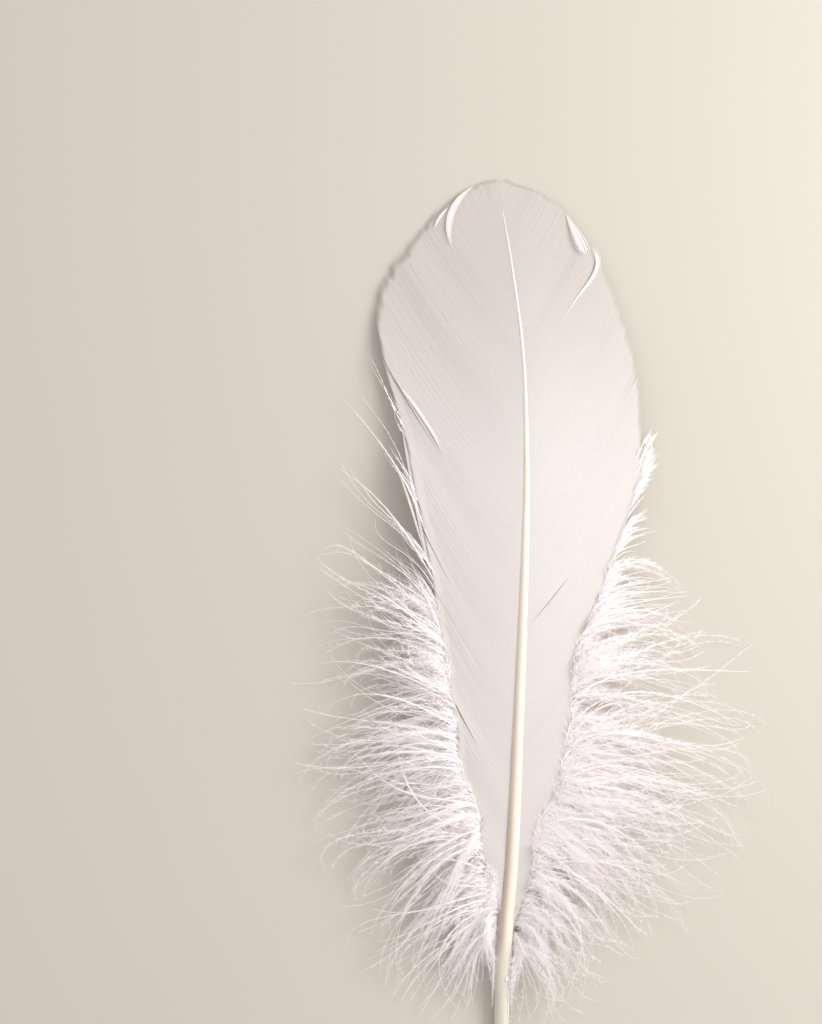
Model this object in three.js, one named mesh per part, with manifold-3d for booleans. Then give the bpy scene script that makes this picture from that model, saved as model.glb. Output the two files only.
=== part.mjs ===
// A white goose body feather, lying with its outer face up.
// Millimetres. +Y runs from the quill to the tip, +X to the right seen from above, +Z up.
// The origin is on the surface it lies on, under the middle of the quill's level end.
import * as THREE from "three";
import { mergeVertices } from "three/addons/utils/BufferGeometryUtils.js";
import Module from "manifold-3d";

const wasm = await Module();
wasm.setup();

// Length of the shaft and the vane, along Y
const QUILL_END = -6;
const QUILL_SHOULDER = -3.5; // the quill narrows from here to its blunt end
const REST_END = 6; // the quill lies level from its end to here
const VANE_START = 28;
const SHAFT_END = 158.5;
const FEATHER_TIP = 164.4;

// The shaft arches off the surface between its level end and the tip
const ARCH_RISE = 7.4;
const ARCH_SHARPNESS = 1.3;
const SHAFT_SIDES = 10;
const SHAFT_RINGS = 30;
const SHAFT_FLATTENING = 0.9; // height over width

// The shaft's line seen from above, as [y, x], and its width, as [y, width]
const SHAFT_LINE = [[-6, 0], [6, 0], [22, 0.3], [41.5, 1.7], [69, 2.9], [100, 4.1],
  [114.5, 4.3], [132.5, 3.8], [150.5, 1.6], [158, 0.4], [164.4, -0.1]];
const SHAFT_WIDTH = [[-6, 1.5], [-3.5, 2.3], [0, 2.7], [22, 2.8], [32, 3.1], [60, 2.5],
  [96, 1.65], [114.5, 1.1], [133, 0.75], [151, 0.5], [158.5, 0.25]];

// Where each barb ends, as [y of its root on the shaft, x of its end, y of its end]
const LEFT_EDGE = [[28, -0.5, 30.5], [39.9, -4.3, 49.3], [48.7, -8.3, 65.2], [68.5, -13.3, 94.3],
  [83.5, -17.1, 115.3], [94.8, -22.2, 132.9], [106.4, -22.4, 143.3], [123, -17.3, 151.2],
  [143.1, -9.6, 159.6], [156, -3.2, 163.8], [163.6, -0.9, 164.4]];
const RIGHT_EDGE = [[28, 2.6, 30], [39.9, 6.1, 46], [50.2, 11.8, 63.2], [61.2, 12.9, 75.6],
  [68.3, 18, 89], [78, 25.3, 109.1], [88.6, 25.5, 120.1], [107.6, 23.1, 136.4],
  [131.1, 16.4, 152.1], [145.2, 11.4, 159.6], [156, 3, 163.6], [163.6, 0.7, 164.4]];

// The vane is a thin sheet that falls away on both sides of the shaft
const ROOT_THICKNESS = 0.55;
const EDGE_THICKNESS = 0.3;
const VANE_SPREAD = 25; // distance from the shaft at which the sheet has lost most of its height
const VANE_FALL = 1.6;
const VANE_SET = 0.2; // how far above the shaft's middle the sheet grows, as a share of the shaft's half height
const BARB_BUNDLES = 27; // bundles of barbs on each side, each one a low ridge
const BARB_STEPS = 5;
const BUNDLE_RIDGE = 0.22;
const BUNDLE_NOTCH = 0.9; // how far a bundle's end stands out past the dip beside it
const SHORT_BARB = 4; // barbs under this length stand out less
const BARB_BOW = [0.47, 0.33]; // share of a barb's run across and along at its bend

const SPLIT_PAST_EDGE = 1.1; // a split's cut runs this share of the barb, out past its end
const SPLIT_DEPTH = 12;
// Splits in the vane, as [side, y of the root, share of the barb where it starts, width at the edge]
const SPLITS = [[-1, 94.5, 0.5, 1.6], [-1, 72.5, 0.62, 1.5], [-1, 65.2, 0.36, 1.2],
  [-1, 52, 0.4, 1.1], [1, 72.6, 0.66, 1.4], [1, 98, 0.8, 1]];

// Down locks, as [x and y of the root, x and y of the tip], from the vane's edge to the quill
const LEFT_DOWN = [[-15, 107, -25.5, 115], [-12, 91, -30.5, 101], [-9.6, 77, -34, 81],
  [-7, 63, -35.5, 60], [-3.4, 46.5, -33, 38], [-0.4, 34, -22, 19], [0.3, 25.5, -6, 12.5]];
const RIGHT_DOWN = [[24, 108, 31, 115], [17.3, 90, 37, 102], [12.1, 76, 45, 82],
  [10.6, 62, 48, 61], [5.6, 46.5, 45, 42], [2.6, 34, 27, 23.5], [0.6, 25.5, 8.5, 14]];
const LOCKS_PER_SIDE = 30;
const LOCK_RINGS = 5;
const LOCK_SIDES = 4;
const LOCK_WIDTH = 2.3;
const LOCK_DEPTH = 1.1;
const LOCK_TIP = 0.24; // width and depth at a lock's tip
const LOCK_NECK = 0.25; // a lock is full width from this share of its length
const LOCK_BOW = [0.1, 0.33]; // least and most bow towards the feather's tip, as a share of a lock's length
const LOCK_LOWEST_BOW = 1; // height of a bow's middle, before its lift
const LOCK_SHORTEST = 0.72; // share of the down's reach
const LOCK_STRAY = 5; // how far a lock's end strays to either side
const LOCK_LIFTS = [0.6, 3.4, 1.6, 5]; // heights of the bows, in turn, so that the locks lie in layers
const LOCK_TIP_HEIGHTS = [0, 2.6, 0, 1.2];

// Barb tufts that curl up off the vane near its tip, as three points seen from above
const TUFTS = [[[-6.2, 162], [-9.8, 159.6], [-9.2, 152.4]], [[-9.8, 159.4], [-12.8, 157.2], [-12, 154.2]],
  [[11.8, 158.6], [14.9, 153.6], [11, 143.6]]];
const TUFT_LIFT = 0.9;

const { clamp, lerp } = THREE.MathUtils;

// The same run of chances every time, each from 0 to 1
let seed = 11;
function chance() {
  seed = (seed * 16807) % 2147483647;
  return seed / 2147483647;
}

// A smooth curve through rows of [key, value, ...], read at a key: column 1 is the first value.
function tableCurve(rows, column = 1) {
  const slope = (i) => {
    const before = rows[Math.max(i - 1, 0)];
    const after = rows[Math.min(i + 1, rows.length - 1)];
    return (after[column] - before[column]) / (after[0] - before[0]);
  };
  return (key) => {
    let i = rows.length - 2;
    while (i > 0 && rows[i][0] > key) i -= 1;
    const span = rows[i + 1][0] - rows[i][0];
    const t = clamp((key - rows[i][0]) / span, 0, 1);
    const tt = t * t;
    const ttt = tt * t;
    return (2 * ttt - 3 * tt + 1) * rows[i][column] + (ttt - 2 * tt + t) * span * slope(i)
      + (3 * tt - 2 * ttt) * rows[i + 1][column] + (ttt - tt) * span * slope(i + 1);
  };
}

const shaftX = tableCurve(SHAFT_LINE);
const shaftWidth = tableCurve(SHAFT_WIDTH);
const halfHeight = (y) => (shaftWidth(y) / 2) * SHAFT_FLATTENING;
const apothem = Math.cos(Math.PI / SHAFT_SIDES);

// Height of the shaft's middle: its underside lies level at the quill, then arches to the tip.
function shaftZ(y) {
  const along = clamp((y - REST_END) / (FEATHER_TIP - REST_END), 0, 1);
  return halfHeight(y) * apothem + ARCH_RISE * Math.sin(Math.PI * along) ** ARCH_SHARPNESS;
}

// Height of the vane's middle surface over a point of the plan.
function vaneZ(x, y) {
  const away = Math.abs(x - shaftX(y)) / VANE_SPREAD;
  const low = EDGE_THICKNESS / 2;
  return low + (shaftZ(y) + VANE_SET * halfHeight(y) - low) * Math.exp(-(away ** VANE_FALL));
}

const edges = new Map([[-1, LEFT_EDGE], [1, RIGHT_EDGE]].map(([side, rows]) =>
  [side, { x: tableCurve(rows, 1), y: tableCurve(rows, 2) }]));

// A point on the barb that leaves the shaft at rootY, seen from above: share 0 at the shaft, 1 at its end.
function barbPoint(side, rootY, share) {
  const root = new THREE.Vector2(shaftX(rootY), rootY);
  const end = new THREE.Vector2(edges.get(side).x(rootY), edges.get(side).y(rootY));
  const bend = new THREE.Vector2(lerp(root.x, end.x, BARB_BOW[0]), lerp(root.y, end.y, BARB_BOW[1]));
  const barb = new THREE.QuadraticBezierCurve(root, bend, end);
  const past = Math.max(share - 1, 0); // past its end the barb runs straight on
  return barb.getPoint(Math.min(share, 1)).addScaledVector(end.clone().sub(bend), 2 * past);
}

// Moves every vertex of a closed three.js geometry, after its doubles are merged.
function reshape(geometry, place) {
  geometry.deleteAttribute("normal");
  geometry.deleteAttribute("uv");
  const merged = mergeVertices(geometry);
  const position = merged.getAttribute("position");
  const point = new THREE.Vector3();
  for (let i = 0; i < position.count; i++) {
    place(point.fromBufferAttribute(position, i));
    position.setXYZ(i, point.x, point.y, point.z);
  }
  return merged;
}

function solid(geometry) {
  const vertProperties = new Float32Array(geometry.getAttribute("position").array);
  const triVerts = new Uint32Array(geometry.index.array);
  return new wasm.Manifold(new wasm.Mesh({ numProp: 3, vertProperties, triVerts }));
}

// The shaft: a tapering ten-sided rod with a level facet underneath, set ring by ring along its line.
function shaft() {
  const rod = new THREE.CylinderGeometry(1, 1, 1, SHAFT_SIDES, SHAFT_RINGS);
  rod.rotateY(Math.PI / SHAFT_SIDES); // one facet faces down
  const rings = [QUILL_END, QUILL_SHOULDER, 0, REST_END];
  const rest = SHAFT_RINGS - rings.length + 1;
  for (let i = 1; i <= rest; i++) rings.push(lerp(REST_END, SHAFT_END, i / rest));
  return solid(reshape(rod, (p) => {
    const y = rings[Math.round((p.y + 0.5) * SHAFT_RINGS)];
    p.set(shaftX(y) + (p.x * shaftWidth(y)) / 2, y, shaftZ(y) + p.z * halfHeight(y));
  }));
}

// The vane: one thin sheet across both sides of the shaft, with a row of points along every barb bundle
// and every dip between two bundles.
function vane() {
  const rows = 2 * BARB_BUNDLES;
  const lastRoot = LEFT_EDGE[LEFT_EDGE.length - 1][0];
  const sheet = new THREE.BoxGeometry(2, 1, 1, 2 * BARB_STEPS, rows, 1);
  return solid(reshape(sheet, (p) => {
    const row = Math.round((p.y + 0.5) * rows);
    const rootY = lerp(VANE_START, lastRoot, row / rows);
    const share = Math.abs(p.x);
    const side = p.x < 0 ? -1 : 1;
    const crest = row % 2;
    const reach = barbPoint(side, rootY, 1).distanceTo(barbPoint(side, rootY, 0));
    const ragged = share === 1 ? ((crest - 0.5) * BUNDLE_NOTCH) / Math.max(reach, SHORT_BARB) : 0;
    const plan = barbPoint(side, rootY, share + ragged);
    const half = lerp(ROOT_THICKNESS, EDGE_THICKNESS, share) / 2;
    const ridge = crest * BUNDLE_RIDGE * (1 - share / 2);
    const z = vaneZ(plan.x, plan.y);
    p.set(plan.x, plan.y, p.z > 0 ? z + half + ridge : Math.max(z - half, 0));
  }));
}

// A wedge that opens a split between two bundles, from inside the vane out past its edge.
function split([side, rootY, share, width]) {
  const inner = barbPoint(side, rootY, share);
  const outer = barbPoint(side, rootY, SPLIT_PAST_EDGE);
  const across = outer.clone().sub(inner).normalize().rotateAround(new THREE.Vector2(), Math.PI / 2);
  const mouth = [-0.5, 0.5].map((half) => outer.clone().addScaledVector(across, half * width));
  const outline = new THREE.Shape([inner, ...mouth]);
  const wedge = new THREE.ExtrudeGeometry(outline, { depth: SPLIT_DEPTH, bevelEnabled: false });
  return solid(reshape(wedge, (p) => p.setZ(p.z - 1)));
}

// A tapering lock along a curve, flattened, pointed at its tip.
function lock(curve, width, depth) {
  const strand = new THREE.CylinderGeometry(1, 1, 1, LOCK_SIDES, LOCK_RINGS);
  const up = new THREE.Vector3(0, 0, 1);
  return solid(reshape(strand, (p) => {
    const share = p.y + 0.5;
    const along = curve.getTangent(share);
    const side = along.clone().cross(up).normalize();
    const normal = side.clone().cross(along);
    const taper = clamp(0.7 + (0.3 * share) / LOCK_NECK, 0, 1) * (1 - share ** 2);
    const halfWidth = Math.max(width * taper, LOCK_TIP) / 2;
    const halfDepth = Math.max(depth * taper, LOCK_TIP) / 2;
    const { x, z } = p;
    p.copy(curve.getPoint(share)).addScaledVector(side, x * halfWidth).addScaledVector(normal, z * halfDepth);
    p.z = Math.max(p.z, 0);
  }));
}

// The down on one side: locks that fan from the vane's edge and the shaft, in layers.
function down(rows) {
  const table = rows.map((row, i) => [i / (rows.length - 1), ...row]);
  const [rootX, rootY, reachX, reachY] = [1, 2, 3, 4].map((column) => tableCurve(table, column));
  return Array.from({ length: LOCKS_PER_SIDE }, (_, i) => {
    const share = i / (LOCKS_PER_SIDE - 1);
    const layer = i % LOCK_LIFTS.length;
    const root = new THREE.Vector3(rootX(share), rootY(share), 0);
    root.z = vaneZ(root.x, root.y);
    const reach = new THREE.Vector3(reachX(share), reachY(share), 0);
    const tip = root.clone().lerp(reach, lerp(LOCK_SHORTEST, 1, chance()));
    const stray = LOCK_STRAY * (2 * chance() - 1) * Math.min(1, 4 * share);
    tip.add(new THREE.Vector3(-reach.y + root.y, reach.x - root.x, 0).setLength(stray));
    tip.z = LOCK_TIP_HEIGHTS[layer] + LOCK_TIP / 2;
    const bend = root.clone().lerp(tip, 0.5);
    bend.y += root.distanceTo(tip) * lerp(...LOCK_BOW, chance());
    bend.z = Math.max(bend.z, LOCK_LOWEST_BOW) + LOCK_LIFTS[layer];
    return lock(new THREE.QuadraticBezierCurve3(root, bend, tip), LOCK_WIDTH, LOCK_DEPTH);
  });
}

function tuft(points) {
  const [root, bend, tip] = points.map(([x, y], i) =>
    new THREE.Vector3(x, y, vaneZ(x, y) + (i ? TUFT_LIFT : 0)));
  return lock(new THREE.QuadraticBezierCurve3(root, bend, tip), LOCK_WIDTH, LOCK_DEPTH / 2);
}

const openVane = SPLITS.map(split).reduce((whole, wedge) => whole.subtract(wedge), vane());
const locks = [...down(LEFT_DOWN), ...down(RIGHT_DOWN), ...TUFTS.map(tuft)];
const grown = [openVane, ...locks].reduce((whole, piece) => whole.add(piece), shaft());
const { vertProperties, triVerts } = grown.getMesh();

const surface = new THREE.BufferGeometry();
surface.setAttribute("position", new THREE.BufferAttribute(vertProperties, 3));
surface.setIndex(new THREE.BufferAttribute(triVerts, 1));
surface.computeVertexNormals();

const feather = new THREE.Mesh(surface, new THREE.MeshStandardMaterial({
  color: 0xf0e9e4,
  roughness: 0.75,
  metalness: 0,
}));
feather.name = "feather";

const group = new THREE.Group();
group.add(feather);
export default group;
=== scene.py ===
import math
from typing import NamedTuple

import bmesh
import bpy
import numpy as np
from bpy.props import FloatProperty, FloatVectorProperty, PointerProperty
from mathutils import Matrix, Vector


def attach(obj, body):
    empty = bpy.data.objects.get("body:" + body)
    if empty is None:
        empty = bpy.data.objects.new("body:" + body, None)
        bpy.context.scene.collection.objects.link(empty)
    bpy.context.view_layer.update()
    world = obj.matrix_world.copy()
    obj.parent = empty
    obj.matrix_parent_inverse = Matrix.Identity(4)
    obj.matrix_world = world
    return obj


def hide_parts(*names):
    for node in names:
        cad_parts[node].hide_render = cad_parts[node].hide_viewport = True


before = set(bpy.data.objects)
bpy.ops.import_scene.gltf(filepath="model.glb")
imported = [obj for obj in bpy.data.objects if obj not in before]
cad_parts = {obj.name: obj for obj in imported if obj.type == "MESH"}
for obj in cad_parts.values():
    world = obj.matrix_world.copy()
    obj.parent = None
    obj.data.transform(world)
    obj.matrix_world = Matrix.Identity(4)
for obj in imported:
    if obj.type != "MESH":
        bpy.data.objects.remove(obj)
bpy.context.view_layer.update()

bl_info = {
    "name": "Goose Feather",
    "version": (1, 0, 0),
    "blender": (4, 5, 0),
    "location": "View3D > Sidebar > Feather",
    "description": "Grows a white goose feather barb by barb, with its down and its quill",
    "category": "Add Mesh",
}

NODE = "feather"
BODY = "root"
MM = 0.001
UP = np.array([0.0, 0.0, 1.0])
LEFT, RIGHT = -1, 1

# Seeds of the pieces' random draws
SEEDS = {
    "left_vane": 1, "right_vane": 2, "tip_tufts": 7,
    "left_strays": 8, "right_strays": 9, "quill_flakes": 10,
    "left_down_lower": 11, "left_down_upper": 12, "left_rim": 13,
    "right_down_lower": 14, "right_down_upper": 15, "right_rim": 16,
}

# The shaft: its line seen from above as (y, x), and its width as (y, width)
SHAFT_LINE = [
    (-6, 0), (6, 0), (22, 0.3), (41.5, 1.7), (69, 2.9), (100, 4.1), (114.5, 4.3), (132.5, 3.8),
    (150.5, 1.6), (158, 0.4), (164.4, -0.1),
]
SHAFT_WIDTH = [
    (-6, 1.5), (-3.5, 2.3), (0, 2.7), (22, 2.8), (32, 3.1), (60, 2.5), (96, 1.65), (114.5, 1.1),
    (133, 0.75), (151, 0.5), (158.5, 0.25),
]
SHAFT_FLATTENING = 0.9  # its height over its width
SHAFT_END = 158.5
SHAFT_SIDES = 16
QUILL_RINGS = [-6.0, -5.7, -5.0, -3.5, -1.5]
SHAFT_STEP = 2.5  # between the rings past these
REST_END = 6.0  # the shaft lies level up to here, then arches
FEATHER_TIP = 164.4
ARCH_SHARPNESS = 1.3
BARE_QUILL_TOP = 24.0
HORN_CHANGE = 1.5  # half the length over which it turns into horn
# Painted shade: brown put down the shaft's left flank, the side turned away from the window light
FLANK_SHADE_START, FLANK_SHADE_FADE = -0.15, 0.6  # where the painted shade on the left flank starts and fades in, in half widths left of the middle
FLANK_SHADE_SHARE = ((38, 90), (1, 0.1))  # how strong the painted shade is at these y

# Flakes of sheath on the quill, as (y, share of the half width where it sits, width, length, curl)
FLAKES = [
    (22.4, 0.88, 0.16, 2.6, 0.05), (20.1, 0.86, 0.16, 2.6, 0.06), (18.2, 0.5, 0.55, 1.0, 0.2),
    (17.5, 0.84, 0.2, 2.6, 0.08), (14.9, 0.82, 0.15, 2.9, 0.04), (12.1, 0.8, 0.14, 3.0, 0.04),
]
FLAKE_COLUMNS, FLAKE_ROWS = 4, 12
FLAKE_RAGGED = (0.5, 1.1)
FLAKE_POINT = 0.03
FLAKE_RISE = 0.06
FLAKE_END_CURL = 0.3
FLAKE_THICKNESS = 0.03

# Where each barb of the vane ends, as (y of its root on the shaft, x of its end, y of its end)
LEFT_EDGE = [
    (28, -0.5, 30.5), (31.3, -1.2, 34.1), (34.6, -3.9, 42.9), (39.9, -4.3, 49.3), (42.3, -7.6, 56.9),
    (48.7, -8.3, 65.2), (53.7, -9.8, 72.5), (58.4, -10.9, 79.3), (68.5, -13.3, 94.3), (78, -16, 108.4),
    (86.4, -18.4, 119.9), (94.8, -22.2, 132.9), (106.4, -22.5, 143.3), (123, -17.4, 151.6),
    (136.6, -12.5, 157.9), (146, -7.9, 161.8), (154, -4.4, 163.9), (163.6, -0.9, 164.6),
]
RIGHT_EDGE = [
    (28, 2.8, 30), (33.3, 5.4, 38.5), (39.9, 6.1, 46), (42.9, 9.6, 53.1), (50.2, 11.8, 63.2),
    (61.2, 12.9, 75.6), (65, 14.4, 81.1), (68.3, 18, 89), (78, 25.3, 109.1), (88.6, 25.5, 120.1),
    (98.5, 24.8, 129.2), (107.6, 23.1, 136.4), (117.3, 20.8, 143.3), (131.1, 16.4, 152.1),
    (145.2, 11.4, 159.6), (153.9, 6.7, 162.5), (163.6, 0.7, 164.6),
]
EDGES = {LEFT: LEFT_EDGE, RIGHT: RIGHT_EDGE}
VANE_START = 28.0
LAST_ROOT = 163.6
BARB_BOW = (0.47, 0.33)  # where a barb bends, as shares of the way to its end in X and in Y
ROOT_LAP, ROOT_LAP_FADE = 0.15, 10  # how far barbs start inside the shaft, and how fast that fades
VANE_SET = 0.55  # how far up the shaft's side they start
VANE_LOW = 0.15
VANE_FALL = 1.6
VANE_CLEARANCE = 0.08

# How wide each side of the vane stays high, over the usual, as (y, share)
SPREAD_SHARE = {
    LEFT: [(28, 1.6), (95, 1.5), (125, 1.1), (150, 0.9), (164.6, 0.9)],
    RIGHT: [(28, 1.1), (80, 1.05), (125, 0.95), (164.6, 0.9)],
}

# How uneven the vane is: a run is a size and the number of barbs over which it changes
RAGGED_RUN = (0.14, 5)
RAGGED = 0.12
RAGGED_SHARE = ((120, 145), (1, 0.35))  # for these roots
RAGGED_FROM = 3
SWAY_RUN = (0.06, 4)
WAVE_RUN = (0.10, 14)
WAVE, WAVE_POWER = 0.012, 0.8

# A barb of the vane, and how it tapers
BARB_STATIONS, STATION_POWER = 22, 0.9
TAPER_LENGTH, LEAST_TAPER = 0.9, 0.35
LEAST_BARB_WIDTH = 0.05
BARB_DEPTHS = (0.02, 0.3)
FLAT_SIDES = 4
SHARP_ANGLE = math.radians(60)
TONES = 0.5  # most that strands differ in tone

# Splits in the vane: side, y of the root, share of the barb where it starts and where it ends,
# gap, height of the step, and how far its neighbours give way, along the shaft
SPLITS = [
    (LEFT, 94.5, 0.5, 1.0, 0.3, 0.6, 4.0), (LEFT, 72.5, 0.62, 1.0, 0.3, 0.3, 4.0),
    (LEFT, 65.2, 0.3, 1.0, 0.2, -0.3, 5.0), (LEFT, 52, 0.36, 1.0, 0.25, 0.3, 3.0),
    (RIGHT, 81.8, 0.03, 0.45, 0.22, 0.2, 3.0), (RIGHT, 72.6, 0.66, 1.0, 0.3, 0.3, 4.0),
    (RIGHT, 98, 0.8, 1.0, 0.3, 0.2, 3.0),
]
SLIT_POWER, OPEN_POWER, STEP_POWER = 0.8, 1.3, 1.5  # closed at both ends, or open at the edge

# How the vane's rim curls up: the most, and the share of that as (y of the root, share)
EDGE_CURL = 0.7
CURLED = {
    LEFT: [(28, 0), (45, 0.8), (80, 1), (92, 0.8), (100, 0.1), (164, 0)],
    RIGHT: [(28, 0), (45, 0.2), (60, 0.5), (75, 0.4), (90, 0), (164, 0)],
}
CURL_START, CURL_SPAN = 0.86, 0.14  # shares of the barb

# Barbs that curl up off the vane, as points seen from above from root to tip,
# with the width, how full it is at the root and at the tip, the lift and the number of barbs
TUFTS = [
    ([(-5.2, 163.1), (-8.5, 160.7), (-10.7, 156.7), (-9.0, 151.7)], 1.15, 0.9, 0.8, 0.5, 20),
    ([(-9.7, 159.2), (-10.7, 158.2), (-11.7, 157.1), (-12.4, 155.0)], 0.4, 0.8, 0.8, 0.4, 7),
    ([(11.9, 157.9), (13.1, 155.6), (14.3, 153.1), (15.6, 150.2)], 2.1, 0.9, 0.2, 0.4, 28),
    ([(16.7, 152.0), (19.9, 147.0), (14.8, 145.2), (11.2, 138.2)], 0.85, 0.3, 0.9, 0.35, 15),
    ([(-21.6, 131.9), (-20.8, 127.8), (-13.5, 121.5), (-9.5, 111.4)], 0.5, 0.9, 0.5, 0.3, 8),
    ([(-18.9, 122.8), (-16.8, 110.9), (-14.6, 98.1), (-11.8, 87.1)], 0.4, 0.8, 0.8, 0.25, 6),
    ([(-19.3, 111.3), (-17.6, 108.4), (-15.9, 102.0), (-13.3, 93.4)], 0.3, 0.8, 0.8, 0.3, 4),
]
TUFT_STATIONS = 20
TUFT_RAGGED = 0.08
TUFT_SCATTER = 0.12
TUFT_CLEARANCE = 0.1
TUFT_LIFT, TUFT_TILT = 0.6, 0.4  # in the middle, and more or less at a side
TUFT_BARB_WIDTH = 2.1  # over its share of the tuft's width
TUFT_MIDDLE, TUFT_THINNING = 1.15, 0.5
TUFT_BLUNTNESS = 6
LEAST_TUFT_WIDTH = 0.03
TUFT_RELIEF = 0.3

# How far the down reaches: y of a barb's root on the shaft, x and y of its tip, and how crowded it is
LEFT_DOWN = [
    (23, -4, 10, 0.1), (28, -12, 12, 0.75), (34, -24, 22, 1.15), (40, -31, 40, 1), (48, -33, 62, 1),
    (55, -33, 82, 0.8), (62, -31.5, 98, 0.4), (69, -29.5, 114, 0.12), (76, -27.5, 124, 0.08),
    (84, -24, 131, 0.04),
]
RIGHT_DOWN = [
    (23, 7, 10, 0.3), (28, 16, 14, 0.7), (34, 27, 24, 1), (40, 40, 38, 1), (46, 45.5, 50, 1),
    (52, 45, 62, 1), (57, 42.5, 70, 0.9), (61, 40, 77, 0.8), (66, 34, 87, 0.6), (70, 29, 96, 0.6),
    (74, 26.5, 104.5, 1), (79, 28.8, 113.5, 1), (82, 28.5, 117.5, 0.5), (84, 28, 119.5, 0.2),
]
DOWN_REACH = {LEFT: LEFT_DOWN, RIGHT: RIGHT_DOWN}
DOWN_START = 22.5
DOWN_CLEARANCE = 0.12
CROWD_STEPS = 300

# Where down barbs come free: at shares of the vane's barbs, or below the vane beside the shaft
LEAVE_SHARES = (0.92, 1.02)
LEAVE_FADE = 3  # length over which the one gives way to the other
AHEAD = 0.05
SHAFT_SIDE, SIDE_GROWTH, SIDE_SPEED = 0.42, 0.2, 12  # how far aside, and more further along
UNDER_MIDDLE = 0.3
LOW_HEADING = (0.8, 0.45)

# How clumps of down differ, and by its scatter how the barbs of one clump differ
ROOT_SCATTER = 0.8
REACH_SCATTER = 0.1
REACH_LIMITS = (0.08, 1.1)
TAILS = 4  # with fewer degrees of freedom, more clumps go far astray
TIP_STRAY, TIP_SCATTER, TIP_LIMIT = 0.14, 0.08, 0.5
WILD_LIMIT = 0.75
HANDLE = (2, 8)  # length of the straight part at the root
HANDLE_SCATTER = 0.5
HANDLE_LEAST, HANDLE_MOST = 1, 0.5  # a length, and a share of the barb
VEER, VEER_SCATTER = 0.14, 0.1
SWING, SWING_SCATTER, SWING_LIMIT = 0.5, 0.25, 1.7
DROOP = ((26, 34, 50, 66), (0.9, 0.45, 0.35, 0.0))  # for these roots
TURN_SHARES = (0.25, 0.45)  # how far before its tip a barb turns
GAMMA_SHAPE = 2.0
LIFT, LIFT_SCATTER, LIFT_MOST = 0.9, 0.4, 5
FULL_LIFT_LENGTH, LEAST_LIFT = 14, 0.3  # shorter barbs rise less
BEND_HEIGHT = 0.9  # over the height of the root
TIP_HEIGHT, TIP_SPREAD = 0.15, 1.3
WAVES, WAVES_SCATTER = (0.5, 1.6), 0.2
PHASE_SCATTER = 0.1
CURL_SCATTER = 0.5  # over the kind's own curl
CURL_POWER = 1.2

# The down's barbs and their barbules
BARB_THICKNESSES = (0.6, 1.3)
BARB_TAPER, TAPER_POWER = 0.8, 1.4
ROUND_BARB = 0.2  # thicker barbs have more sides and are smooth
ROUND_SIDES, FINE_SIDES = 5, 3
BARBULE_SHARES = (0.06, 0.99)
BARBULE_ROLL = 0.6
BARBULE_LENGTHS = (0.6, 1.15)
BARBULE_FADE, BARBULE_LEAST = 1.25, 0.3
BARBULE_FLATNESS = ((0.1, 0.75), (2.4, 0.9))  # width over thickness at these shares
BARBULE_DEPTH = 0.7
BARBULE_CLEARANCE = 0.06


class Down(NamedTuple):
    """A kind of down barb, with lengths in millimetres and leans in degrees."""

    barbs: tuple  # in a clump: the fewest and the most
    reach: tuple  # share of the down's reach that it grows to: the least and the most
    thick: float
    stations: int
    wild: float  # how far clumps stray from the way that their neighbours take
    curl: float  # height of its waves
    barbule: float  # length of its barbules
    lean: tuple  # of a barbule off the barb: the least and the most
    sparse: float  # the gap between barbules, over the usual one


FLUFF = Down((5, 9), (0.1, 0.42), 0.10, 11, 2.4, 0.45, 1.9, (20, 70), 0.95)
CUSHION = Down((5, 9), (0.2, 0.75), 0.11, 12, 2.2, 0.45, 1.9, (15, 60), 1.0)
PLUMES = Down((2, 5), (0.45, 1.05), 0.13, 18, 1.9, 0.3, 2.0, (10, 45), 1.7)
BRUSHES = Down((3, 6), (0.5, 1.06), 0.16, 18, 1.7, 0.25, 2.1, (5, 26), 1.35)
HAIRS = Down((1, 4), (0.5, 1.08), 0.14, 18, 2.3, 0.3, 0, (0, 0), 1)
RIM = Down((1, 3), (0.3, 1.0), 0.08, 14, 0.35, 0.1, 0.8, (8, 25), 2.8)
STRAY = Down((1, 1), (1, 1), 0.2, 28, 0, 0, 1.4, (4, 18), 0.9)
COMB = Down((3, 6), (0.45, 1.05), 0.12, 12, 0.3, 0.06, 0.9, (8, 25), 1.3)

# Stretches of down: side, lowest and highest root, and the clumps of each kind that grow there
STRETCHES = {
    "left_down_lower": (LEFT, 23, 46, ((CUSHION, 25), (BRUSHES, 23), (HAIRS, 12), (FLUFF, 11))),
    "left_down_upper": (LEFT, 40, 66, ((FLUFF, 44), (PLUMES, 32), (HAIRS, 18))),
    "left_rim": (LEFT, 62, 88, ((RIM, 22),)),
    "right_down_lower": (RIGHT, 23, 44, ((CUSHION, 32), (PLUMES, 26), (HAIRS, 12))),
    "right_down_upper": (RIGHT, 38, 70, ((FLUFF, 39), (PLUMES, 31), (HAIRS, 14))),
    "right_rim": (RIGHT, 64, 84, ((COMB, 34),)),
}

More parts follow.
